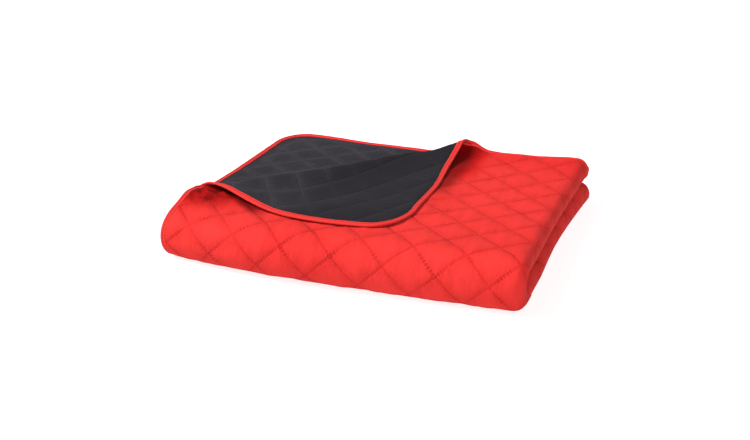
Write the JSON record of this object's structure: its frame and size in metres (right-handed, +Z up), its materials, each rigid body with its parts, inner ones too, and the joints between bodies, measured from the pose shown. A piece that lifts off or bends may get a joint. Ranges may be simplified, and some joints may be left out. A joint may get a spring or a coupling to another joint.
{
  "type": "folded quilted bedspread",
  "caption": "Double-sided quilted bedspread folded into a flat pad, bound all round, with one corner of the top layer turned back to show the reverse.",
  "frame": {"origin": "middle of the folded pad's bounding box, on the surface that it rests on", "axes": "+X to the right along the soft fold at the front, +Y from that fold to the bound edges at the back, +Z up through the layers"},
  "size_m": [0.6514, 0.5964, 0.1151],
  "materials": {
    "quilted_fabric": "brushed polyester, red on the face and dark grey on the reverse, welded in diamonds",
    "binding_tape": "folded red tape, sewn through with one line of stitches"
  },
  "bodies": {
    "root": {"quilt": "quilted_fabric", "binding": "binding_tape"}
  },
  "joints": []
}
